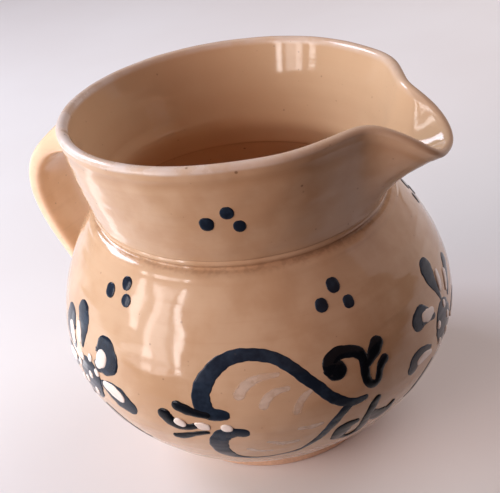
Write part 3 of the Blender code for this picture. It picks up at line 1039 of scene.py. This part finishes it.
class Bench:
    """Places and joins the nodes of one material or node group."""

    def __init__(self, tree: bpy.types.NodeTree) -> None:
        """Keeps the tree that the nodes go into."""
        self.tree = tree

    @classmethod
    def material(cls, name: str) -> tuple[bpy.types.Material, "Bench", bpy.types.Node]:
        """Makes a material, and gives it with a bench on its nodes and its shader."""
        made = bpy.data.materials.new(name)
        made.use_nodes = True
        return made, cls(made.node_tree), made.node_tree.nodes["Principled BSDF"]

    def feed(self, node: bpy.types.Node, inputs: dict[str | int, Feed]) -> None:
        """Sets each input by name or place to a value, or joins another node's output to it."""
        for key, value in inputs.items():
            if isinstance(value, Socket):
                self.tree.links.new(value, node.inputs[key])
            else:
                node.inputs[key].default_value = value

    def node(self, kind: str, inputs: dict[str | int, Feed] | None = None, **settings) -> bpy.types.Node:
        """Adds a node.

        Args:
            kind: The node's type.
            inputs: A value, or another node's output to join, for each input by name or place.
            **settings: The node's own settings.

        Returns:
            The node.
        """
        made = self.tree.nodes.new(kind)
        made.location = (220 * (len(self.tree.nodes) % 9), -260 * (len(self.tree.nodes) // 9))
        for name, value in settings.items():
            setattr(made, name, value)
        self.feed(made, inputs or {})
        return made

    def sum(self, operation: str, first: Feed, second: Feed = 0.0, clamp: bool = False) -> Socket:
        """A Math node's output."""
        inputs = {0: first, 1: second}
        return self.node("ShaderNodeMath", inputs, operation=operation, use_clamp=clamp).outputs[0]

    def times(self, first: Feed, second: Feed) -> Socket:
        """One number times another."""
        return self.sum("MULTIPLY", first, second)

    def plus(self, first: Feed, second: Feed, clamp: bool = False) -> Socket:
        """One number plus another."""
        return self.sum("ADD", first, second, clamp)

    def between(
        self,
        value: Feed,
        low: Feed,
        high: Feed,
        to_low: float = 0.0,
        to_high: float = 1.0,
    ) -> Socket:
        """A smooth Map Range node's output."""
        inputs = {"Value": value, "From Min": low, "From Max": high, "To Min": to_low, "To Max": to_high}
        return self.node("ShaderNodeMapRange", inputs, interpolation_type="SMOOTHSTEP").outputs[0]

    def mix(self, share: Feed, first: Feed, second: Feed, blend: str = "MIX") -> Socket:
        """A colour Mix node's output."""
        inputs = {0: share, 6: first, 7: second}
        return self.node("ShaderNodeMix", inputs, data_type="RGBA", blend_type=blend).outputs[2]

    def place(self) -> Socket:
        """Object coordinates."""
        return self.node("ShaderNodeTexCoord").outputs["Object"]

    def mark(self, name: str) -> Socket:
        """A mesh attribute's number."""
        return self.node("ShaderNodeAttribute", attribute_name=name).outputs["Fac"]

    def noise(self, where: Feed, scale: Feed, detail: float = 3.0, rough: float = 0.5) -> Socket:
        """A Noise texture's number."""
        inputs = {"Vector": where, "Scale": scale, "Detail": detail, "Roughness": rough}
        return self.node("ShaderNodeTexNoise", inputs).outputs["Fac"]

    def shared(self, effect: str, inputs: dict[str, Feed]) -> bpy.types.Node:
        """Places a shared effect by its group's name."""
        return self.node("ShaderNodeGroup", inputs, node_tree=bpy.data.node_groups[effect])


class Effects:
    """The shared effects, each a node group that is built once."""

    @staticmethod
    def group(name: str, inputs: dict[str, float], outputs: tuple[str, ...]) -> Bench:
        """Makes a group with number inputs and outputs.

        Args:
            name: The group's name.
            inputs: Each input's first value by name.
            outputs: The outputs' names.

        Returns:
            A bench on the group.
        """
        tree = bpy.data.node_groups.new(name, "ShaderNodeTree")
        for label, value in inputs.items():
            socket = tree.interface.new_socket(label, in_out="INPUT", socket_type="NodeSocketFloat")
            socket.default_value = value
        for label in outputs:
            tree.interface.new_socket(label, in_out="OUTPUT", socket_type="NodeSocketFloat")
        return Bench(tree)

    @classmethod
    def iron_specks(cls) -> None:
        """Small dark specks: cells whose own random number is low, dark near the cell's middle."""
        bench = cls.group("iron_specks", {"Scale": 260.0, "Share": 0.1, "Size": 0.12}, ("Mask",))
        given = bench.node("NodeGroupInput").outputs
        cells = bench.node("ShaderNodeTexVoronoi", {"Vector": bench.place(), "Scale": given["Scale"]}).outputs
        luck = bench.node("ShaderNodeSeparateColor", {0: cells["Color"]}).outputs
        chosen = bench.sum("LESS_THAN", luck[0], given["Share"])
        size = bench.times(given["Size"], bench.plus(luck[1], 0.4))
        near = bench.sum("SUBTRACT", 1.0, bench.sum("DIVIDE", cells["Distance"], size), True)
        bench.node("NodeGroupOutput", {"Mask": bench.times(chosen, bench.between(near, 0.0, 0.6))})

    @classmethod
    def wheel_lines(cls) -> None:
        """Fine lines that the wheel leaves: noise drawn out round the pot and tight up it."""
        inputs = {"Level": 0.0, "Tightness": 900.0, "Round": 22.0}
        bench = cls.group("wheel_lines", inputs, ("Height", "Mask"))
        given = bench.node("NodeGroupInput").outputs
        apart = bench.node("ShaderNodeSeparateXYZ", {0: bench.place()}).outputs
        spread = {axis: bench.times(apart[axis], given["Round"]) for axis in ("X", "Y")}
        spread["Z"] = bench.times(given["Level"], given["Tightness"])
        height = bench.noise(bench.node("ShaderNodeCombineXYZ", spread).outputs[0], 1.0, 4.0, 0.62)
        bench.node("NodeGroupOutput", {"Height": height, "Mask": bench.between(height, 0.5, 0.72)})

    @classmethod
    def glaze_pooling(cls) -> None:
        """Cloudy thick and thin glaze: two sizes of noise added, then spread out by a soft step."""
        bench = cls.group("glaze_pooling", {"Scale": 38.0, "Low": 0.4, "High": 0.62}, ("Mask",))
        given = bench.node("NodeGroupInput").outputs
        where = bench.place()
        wide = bench.times(bench.noise(where, given["Scale"], 4.0), 0.65)
        small = bench.times(bench.noise(where, bench.times(given["Scale"], 4.3), 3.0), 0.35)
        mask = bench.between(bench.plus(wide, small), given["Low"], given["High"])
        bench.node("NodeGroupOutput", {"Mask": mask})

    @classmethod
    def orange_peel(cls) -> None:
        """The glaze's own dimpled skin, as a height: a slow noise and a fine one added."""
        bench = cls.group("orange_peel", {"Scale": 620.0, "Depth": 0.6}, ("Height",))
        given = bench.node("NodeGroupInput").outputs
        where = bench.place()
        slow = bench.times(bench.noise(where, 95.0, 2.0), 2.4)
        both = bench.plus(slow, bench.noise(where, given["Scale"], 2.0))
        bench.node("NodeGroupOutput", {"Height": bench.times(both, given["Depth"])})


@dataclass(frozen=True)
class GlazeFinish:
    """The clear honey glaze over the buff clay."""

    name: str = "honey_glaze"
    cream: Colour = (0.585, 0.388, 0.250, 1)
    honey: Colour = (0.515, 0.315, 0.186, 1)
    # Darker honey: glaze pooled in the wheel lines and the neck's groove, and painted shade in the band under
    # the rim.
    pool_and_shade: Colour = (0.46, 0.262, 0.142, 1)
    # Whitish rim colour: partly real worn glaze, partly a painted reflection of the bright sky on the rim's
    # top.
    worn_and_sheen: Colour = (0.66, 0.56, 0.51, 1)
    chip: Colour = (0.13, 0.085, 0.06, 1)
    clay: Colour = (0.60, 0.37, 0.25, 1)
    inner_top: Colour = (0.56, 0.365, 0.222, 1)
    # Lighter, warmer colour deep inside: painted bounce light that lifts the dark hollow.
    inner_floor_painted_bounce: Colour = (0.78, 0.47, 0.27, 1)
    speck: Colour = (0.17, 0.085, 0.045, 1)
    roughness: float = 0.12
    pooled_gloss: float = 0.05
    coat: float = 0.1
    coat_roughness: float = 0.04
    line_share: float = 0.12
    inside_share: float = 0.85
    neck_share: float = 0.42
    tick_share: float = 0.26
    bare_share: float = 0.85
    speck_share: float = 0.75
    dust_share: float = 0.4
    bump_strength: float = 0.16
    bump_distance: float = 0.00022

    def material(self) -> bpy.types.Material:
        """Builds the material from the body's marks and the shared effects."""
        made, bench, shader = Bench.material(self.name)
        where = bench.place()
        clouds = bench.shared("glaze_pooling", {"Scale": 30.0, "Low": 0.40, "High": 0.62}).outputs["Mask"]
        level, neck, rim, bare = (bench.mark(name) for name in ("level", "neck", "rim", "bare"))
        lines = bench.shared("wheel_lines", {"Level": level, "Tightness": 620.0, "Round": 14.0}).outputs
        specks = bench.shared("iron_specks", {"Scale": 240.0, "Share": 0.05, "Size": 0.12}).outputs["Mask"]
        dust = bench.shared("iron_specks", {"Scale": 620.0, "Share": 0.05, "Size": 0.22}).outputs["Mask"]
        peel = bench.shared("orange_peel", {"Scale": 520.0, "Depth": 0.35}).outputs["Height"]
        # Inside colour runs from the top's colour to a lighter one towards the floor: painted bounce light.
        inside_with_painted_bounce = bench.mix(bench.between(level, 0.115, 0.055), self.inner_top, self.inner_floor_painted_bounce)
        # Uneven strength of the darker band under the rim, which is partly painted shade.
        below_rim_noise = bench.between(bench.noise(where, 60.0), 0.25, 0.7, 0.25, 0.75)
        ticks = bench.between(bench.noise(where, 640.0, 1.0), 0.42, 0.66, 0.0, self.tick_share)
        # The rim's whitening: real wear, plus a painted reflection of the sky, strongest on one side.
        worn_and_sheen = bench.times(rim, bench.between(bench.noise(where, 130.0, 5.0, 0.6), 0.30, 0.62, 0.35, 1.0))
        flakes = bench.between(bench.noise(where, 720.0, 3.0, 0.65), 0.63, 0.70)
        grazed = bench.between(bench.noise(where, 46.0, 2.0), 0.52, 0.60)
        chips = bench.times(bench.times(flakes, grazed), bench.between(rim, 0.6, 1.0))
        grain = bench.between(bench.noise(where, 900.0, 3.0, 0.7), 0.3, 0.75, 0.82, 1.12)
        bright = bench.node("ShaderNodeCombineColor", {0: grain, 1: grain, 2: grain}).outputs[0]
        clay = bench.mix(1.0, self.clay, bright, "MULTIPLY")
        dusting = bench.times(dust, self.dust_share)
        spots = bench.sum("MAXIMUM", bench.times(specks, self.speck_share), dusting)
        colour = bench.mix(clouds, self.cream, self.honey)
        layers = (
            (bench.times(lines["Mask"], self.line_share), self.pool_and_shade),
            (bench.times(bench.mark("inside"), self.inside_share), inside_with_painted_bounce),
            # Darker band under the rim: partly painted shade, partly the glaze's browner edge.
            (bench.times(bench.mark("below_rim"), below_rim_noise), self.pool_and_shade),
            (bench.times(neck, self.neck_share), self.pool_and_shade),
            (bench.times(neck, ticks), self.speck),
            (worn_and_sheen, self.worn_and_sheen),
            (chips, self.chip),
            (bench.times(bare, self.bare_share), clay),
            (spots, self.speck),
        )
        for share, over in layers:
            colour = bench.mix(share, colour, over)
        glossy = bench.between(clouds, 0.0, 1.0, self.roughness, self.roughness - self.pooled_gloss)
        rough = bench.plus(glossy, bench.times(worn_and_sheen, 0.30))
        rough = bench.plus(rough, bench.times(bare, 0.5))
        rough = bench.plus(rough, bench.times(chips, 0.4), True)
        glazed = bench.sum("SUBTRACT", 1.0, bench.plus(bare, worn_and_sheen, True), True)
        height = bench.plus(peel, bench.times(lines["Height"], 0.9))
        height = bench.sum("SUBTRACT", height, bench.times(chips, 1.5))
        height = bench.sum("SUBTRACT", height, bench.times(specks, 0.6))
        height = bench.plus(height, bench.times(bench.times(grain, bare), 1.2))
        relief = {"Height": height, "Strength": self.bump_strength, "Distance": self.bump_distance}
        looks = {
            "Base Color": colour,
            "Roughness": rough,
            "Coat Weight": bench.times(glazed, self.coat),
            "Coat Roughness": self.coat_roughness,
            "Normal": bench.node("ShaderNodeBump", relief).outputs[0],
        }
        bench.feed(shader, looks)
        return made


# The handle's glaze: the body's glaze in lighter colours, painted light for a handle that the window lights
# more strongly.
HANDLE_GLAZE_PAINTED_LIGHT = GlazeFinish("handle_glaze_painted_light", cream=(0.87, 0.64, 0.45, 1), honey=(0.79, 0.55, 0.36, 1))


@dataclass(frozen=True)
class SlipFinish:
    """A slip under the glaze: its deep colour, the colour where it thins at its edge, and its gloss."""

    name: str
    deep: Colour
    cloudy: Colour
    edge: Colour
    edge_width: float
    roughness: float
    coat: float = 0.0
    soft: bool = False
    most_cover: float = 0.62
    least_cover: float = 0.40
    raggedness: float = 0.05
    specular: float = 0.5
    coat_roughness: float = 0.05
    bump_strength: float = 0.3
    bump_distance: float = 0.0002

    def material(self) -> bpy.types.Material:
        """Builds the material from how thick the slip lies and the shared effects."""
        made, bench, shader = Bench.material(self.name)
        clouds = bench.shared("glaze_pooling", {"Scale": 120.0, "Low": 0.42, "High": 0.66}).outputs["Mask"]
        specks = bench.shared("iron_specks", {"Scale": 420.0, "Share": 0.05, "Size": 0.2}).outputs["Mask"]
        peel = bench.shared("orange_peel", {"Scale": 620.0, "Depth": 0.5}).outputs["Height"]
        grain = bench.noise(bench.place(), 700.0, 2.0)
        uneven = bench.between(grain, 0.3, 0.7, -self.raggedness, self.raggedness)
        ragged = bench.plus(bench.mark("thickness"), uneven)
        full = bench.between(ragged, 0.0, self.edge_width)
        colour = bench.mix(full, self.edge, bench.mix(clouds, self.deep, self.cloudy))
        relief = {"Height": peel, "Strength": self.bump_strength, "Distance": self.bump_distance}
        looks = {
            "Base Color": bench.mix(bench.times(specks, 0.35), colour, self.edge),
            "Roughness": bench.between(clouds, 0.0, 1.0, self.roughness, self.roughness + 0.06),
            "Specular IOR Level": self.specular,
            "Coat Weight": self.coat,
            "Coat Roughness": self.coat_roughness,
            "Normal": bench.node("ShaderNodeBump", relief).outputs[0],
        }
        if self.soft:
            cover = bench.between(clouds, 0.0, 1.0, self.most_cover, self.least_cover)
            looks["Alpha"] = bench.times(bench.between(ragged, 0.25, 1.0), cover)
        bench.feed(shader, looks)
        return made


SLIP_FINISHES = {
    Slip.NAVY: SlipFinish(
        "navy_slip",
        deep=(0.009, 0.014, 0.026, 1),
        cloudy=(0.020, 0.032, 0.054, 1),
        edge=(0.05, 0.05, 0.06, 1),
        edge_width=0.55,
        roughness=0.12,
        specular=0.3,
    ),
    Slip.BLACK: SlipFinish(
        "black_slip",
        deep=(0.003, 0.004, 0.007, 1),
        cloudy=(0.007, 0.009, 0.014, 1),
        edge=(0.03, 0.025, 0.022, 1),
        edge_width=0.4,
        roughness=0.12,
        specular=0.3,
    ),
    Slip.WHITE: SlipFinish(
        "white_slip",
        deep=(0.80, 0.70, 0.64, 1),
        cloudy=(0.76, 0.64, 0.57, 1),
        edge=(0.66, 0.52, 0.43, 1),
        edge_width=0.6,
        roughness=0.14,
        coat=0.3,
    ),
    Slip.VEIL: SlipFinish(
        "veil_slip",
        deep=(0.80, 0.66, 0.56, 1),
        cloudy=(0.76, 0.60, 0.48, 1),
        edge=(0.78, 0.62, 0.50, 1),
        edge_width=0.6,
        roughness=0.13,
        coat=0.2,
        soft=True,
    ),
}


@dataclass(frozen=True)
class PhotoView:
    """The camera that took the photograph, found by matching the pot's outline."""

    azimuth: float = -57.0
    elevation: float = 31.49
    roll: float = -9.41
    distance: float = 0.30166
    target_height: float = 0.06196
    lens: float = 61.2
    shift: Pair = (-0.00493, 0.02170)

    def from_camera(self, right: float, away: float, up: float) -> tuple[float, float, float]:
        """The point at that distance to the camera's right, away from it and up, from the origin."""
        turn = math.radians(self.azimuth + 90)
        x = right * math.cos(turn) - away * math.sin(turn)
        return x, right * math.sin(turn) + away * math.cos(turn), up

    def build(self) -> bpy.types.Object:
        """Makes the camera: it stands off the target along azimuth and elevation, then rolls."""
        around, rise, roll = (math.radians(part) for part in (self.azimuth, self.elevation, self.roll))
        back = Vector((math.cos(rise) * math.cos(around), math.cos(rise) * math.sin(around), math.sin(rise)))
        right = Vector((-math.sin(around), math.cos(around), 0.0))
        up = back.cross(right)
        turned_right = right * math.cos(roll) + up * math.sin(roll)
        turned_up = up * math.cos(roll) - right * math.sin(roll)
        spot = back * self.distance + Vector((0, 0, self.target_height))
        axes = Matrix((turned_right, turned_up, back)).transposed().to_4x4()
        camera = bpy.data.cameras.new("photo_view")
        camera.sensor_width = 36.0
        camera.lens = self.lens
        camera.shift_x, camera.shift_y = self.shift
        camera.clip_start = 0.01
        obj = shown("photo_view", camera)
        obj.matrix_world = Matrix.Translation(spot) @ axes
        bpy.context.scene.camera = obj
        return obj


@dataclass
class Tabletop:
    """The plain pale table that the jug stands on."""

    half_size: float = 3.0
    below: float = 0.0001
    points_a_side: int = 9
    pale: Colour = (0.78, 0.75, 0.745, 1)
    shade: Colour = (0.75, 0.71, 0.70, 1)
    roughness: float = 0.42

    def build(self) -> bpy.types.Object:
        """Makes the top as a flat grid, a hair below the foot."""
        line = np.linspace(-self.half_size, self.half_size, self.points_a_side)
        x, y = np.meshgrid(line, line, indexing="ij")
        vertices = np.stack([x, y, 0 * x - self.below], axis=-1).reshape(-1, 3)
        index = np.arange(x.size).reshape(x.shape)
        quads = np.stack([index[:-1, :-1], index[1:, :-1], index[1:, 1:], index[:-1, 1:]], axis=-1)
        obj = Potting.plain("tabletop", vertices.tolist(), quads.reshape(-1, 4).tolist())
        obj.data.materials.append(self.material())
        return obj

    def material(self) -> bpy.types.Material:
        """Painted board: a pale colour that clouds a little, with a dull sheen."""
        made, bench, shader = Bench.material("pale_board")
        clouds = bench.between(bench.noise(bench.place(), 5.0, 3.0), 0.3, 0.7)
        colour = bench.mix(clouds, self.pale, self.shade)
        bench.feed(shader, {"Base Color": colour, "Roughness": self.roughness})
        return made


@dataclass
class DarkFlag:
    """A black card on the table in front, out of the picture, so that the pot mirrors a dark room there.

    The camera and the lights pass it by. Only the pot sees it.
    """

    left: float = -0.50
    right: float = 1.20
    near: float = -0.060
    far: float = -1.20
    above: float = 0.002
    thinning: float = 0.065
    black: Colour = (0.012, 0.011, 0.010, 1)
    roughness: float = 0.9

    def build(self, view: PhotoView) -> bpy.types.Object:
        """Makes the card. Its corners are given from the camera's side."""
        left, right, near, far = self.left, self.right, self.near, self.far
        corners = ((left, far), (right, far), (right, near), (left, near))
        vertices = [view.from_camera(*corner, self.above) for corner in corners]
        obj = Potting.plain("dark_flag", vertices, [(0, 1, 2, 3)])
        obj.data.materials.append(self.material(view))
        obj.visible_camera = False
        obj.visible_shadow = False
        return obj

    def material(self, view: PhotoView) -> bpy.types.Material:
        """Dull black that thins to nothing towards the pot, over a length from the card's near edge.

        The way into the picture is the dot product of the place with the camera's own away direction.
        """
        made, bench, shader = Bench.material("black_card")
        ahead = {0: bench.place(), 1: view.from_camera(0.0, 1.0, 0.0)}
        into = bench.node("ShaderNodeVectorMath", ahead, operation="DOT_PRODUCT").outputs["Value"]
        solid = bench.between(into, self.near, self.near - self.thinning)
        bench.feed(shader, {"Base Color": self.black, "Roughness": self.roughness, "Alpha": solid})
        return made


@dataclass(frozen=True)
class Panel:
    """A soft light: where it stands round the jug, from the camera's right and up, and its power in watts.

    The size is its width and height in metres, and the roll turns it in its own plane. One that isn't
    mirrored lights the jug without a reflection in the glaze.
    """

    name: str
    azimuth: float
    elevation: float
    size: Pair
    power: float
    colour: tuple[float, float, float]
    mirrored: bool = True
    roll: float = 0.0
    distance: float = 1.0


WINDOW_LIGHT = (1.0, 0.93, 0.91)
PANELS = (
    Panel("back_window", 148, 36, (0.50, 0.34), 7.0, (0.78, 0.81, 0.97)),
    Panel("left_fill", 180, 20, (0.80, 0.70), 5.6, (0.40, 0.86, 0.98), False),
    Panel("front_left_fill", -150, 20, (0.80, 0.70), 6.0, (1.0, 0.70, 0.66), False),
    Panel("pane_far_left", -166, 17, (0.10, 0.36), 0.8, WINDOW_LIGHT),
    Panel("pane_left", -154, 14, (0.09, 0.62), 1.2, WINDOW_LIGHT),
    Panel("pane_middle", -147, 14, (0.13, 0.64), 1.0, WINDOW_LIGHT),
    Panel("pane_right", -137.5, 15, (0.07, 0.66), 1.5, WINDOW_LIGHT),
    Panel("window_sill", -161, 0.5, (0.34, 0.05), 0.16, WINDOW_LIGHT, roll=5),
    Panel("right_wall", 20, 22, (0.90, 1.20), 1.35, (0.90, 0.90, 1.0), roll=45),
    Panel("right_fill", 40, 35, (0.80, 0.70), 4.6, (0.98, 0.98, 1.0), False),
)


@dataclass
class Daylight:
    """Soft studio light that stands in for a window on the left, with a weak fill."""

    wall: Colour = (0.85, 0.50, 0.38, 1)
    wall_strength: float = 0.2
    aim_height: float = 0.06
    glare_spot: tuple[float, float, float] = (-0.167, 0.059, 0.001)
    glare_size: Pair = (0.13, 0.036)
    glare_turn: float = math.radians(147)
    glare_power: float = 0.018

    @staticmethod
    def area_light(name: str, size: Pair, power: float) -> bpy.types.Object:
        """Adds a rectangular light that the camera doesn't see."""
        light = bpy.data.lights.new(name, "AREA")
        light.shape = "RECTANGLE"
        light.size, light.size_y = size
        light.energy = power
        obj = shown(name, light)
        obj.visible_camera = False
        return obj

    def panel(self, view: PhotoView, panel: Panel) -> None:
        """Adds one soft light that faces the jug."""
        around, rise = math.radians(panel.azimuth), math.radians(panel.elevation)
        flat = panel.distance * math.cos(rise)
        up = panel.distance * math.sin(rise) + self.aim_height
        spot = Vector(view.from_camera(flat * math.cos(around), flat * math.sin(around), up))
        facing = (Vector((0.0, 0.0, self.aim_height)) - spot).to_track_quat("-Z", "Y").to_matrix().to_4x4()
        obj = self.area_light(panel.name, panel.size, panel.power)
        obj.data.color = panel.colour
        rolled = Matrix.Rotation(math.radians(panel.roll), 4, "Z")
        obj.matrix_world = Matrix.Translation(spot) @ facing @ rolled
        obj.visible_glossy = panel.mirrored

    def glare(self, view: PhotoView) -> None:
        """The bright patch of table behind the handle, which only shows as a reflection."""
        turn = math.radians(view.azimuth + 90) + self.glare_turn
        face_up = Matrix.Rotation(turn, 4, "Z") @ Matrix.Rotation(math.pi, 4, "X")
        obj = self.area_light("table_glare", self.glare_size, self.glare_power)
        obj.matrix_world = Matrix.Translation(view.from_camera(*self.glare_spot)) @ face_up
        obj.visible_diffuse = False
        obj.visible_shadow = False

    def build(self, view: PhotoView) -> None:
        """Lights the scene: each panel, the glare and a weak even fill."""
        world = bpy.data.worlds.new("pale_room")
        world.use_nodes = True
        back = world.node_tree.nodes["Background"]
        Bench(world.node_tree).feed(back, {"Color": self.wall, "Strength": self.wall_strength})
        bpy.context.scene.world = world
        for panel in PANELS:
            self.panel(view, panel)
        self.glare(view)


def main() -> None:
    """Loads the frame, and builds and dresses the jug."""
    logging.basicConfig(level=logging.INFO, format="%(name)s: %(message)s")
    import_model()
    for effect in (Effects.iron_specks, Effects.wheel_lines, Effects.glaze_pooling, Effects.orange_peel):
        effect()
    form = JugForm()
    body = ThrownBody(form)
    dressed = [(body.build(), GlazeFinish()), (StrapHandle(form).build(), HANDLE_GLAZE_PAINTED_LIGHT)]
    dressed += [(piece, SLIP_FINISHES[slip]) for slip, piece in SlipTrailing(body).build().items()]
    for piece, finish in dressed:
        piece.data.materials.append(finish.material())
    Tabletop().build()
    view = PhotoView()
    view.build()
    DarkFlag().build(view)
    Daylight().build(view)
    bpy.context.scene.view_settings.view_transform = "Standard"


if __name__ == "__main__":
    main()
